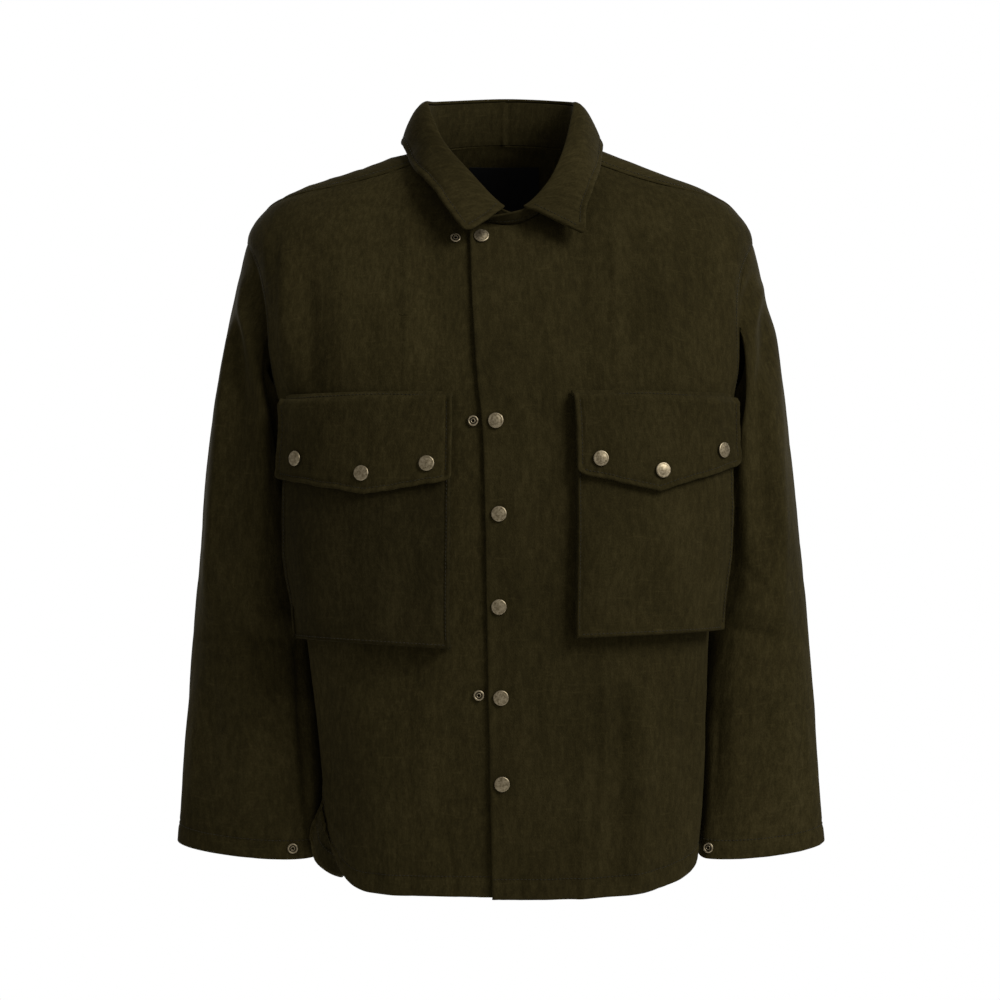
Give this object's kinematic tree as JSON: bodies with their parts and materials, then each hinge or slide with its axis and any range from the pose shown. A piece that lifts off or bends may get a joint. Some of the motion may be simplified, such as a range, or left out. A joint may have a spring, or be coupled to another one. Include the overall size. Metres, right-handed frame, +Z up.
{
  "type": "overshirt",
  "caption": "Hollow, filled-out wool shirt jacket with a folded collar, lapped snap front, flapped bellows chest pockets, long plain sleeves and a side-vented shirt-tail hem.",
  "frame": {"origin": "middle of the neck opening at the height of the back neck seam, where the wearer's neck and shoulders hold the garment", "axes": "+Z up towards the wearer's head, -Y out of the front, +X towards the wearer's left sleeve"},
  "size_m": [0.6476, 0.2902, 0.8224],
  "materials": {
    "wool": "brushed wool flannel, matt with a soft nap",
    "label": "black woven satin, plain",
    "snap": "antique brass, worn grey-bronze, satin"
  },
  "bodies": {
    "root": {"front_left": "wool", "front_right": "wool", "back": "wool", "sleeve_left": "wool", "sleeve_right": "wool", "collar_stand": "wool", "collar_leaf": "wool", "pocket_left": "wool", "pocket_right": "wool", "flap_left": "wool", "flap_right": "wool", "neck_label": "label", "snap_front_1": "snap", "snap_front_2": "snap", "snap_front_3": "snap", "snap_front_4": "snap", "snap_front_5": "snap", "snap_front_6": "snap", "snap_flap_left_1": "snap", "snap_flap_left_2": "snap", "snap_flap_left_3": "snap", "snap_flap_right_1": "snap", "snap_flap_right_2": "snap", "snap_flap_right_3": "snap", "stud_front_1": "snap", "stud_front_2": "snap", "stud_front_3": "snap", "stud_cuff_left": "snap", "stud_cuff_right": "snap"}
  },
  "joints": []
}
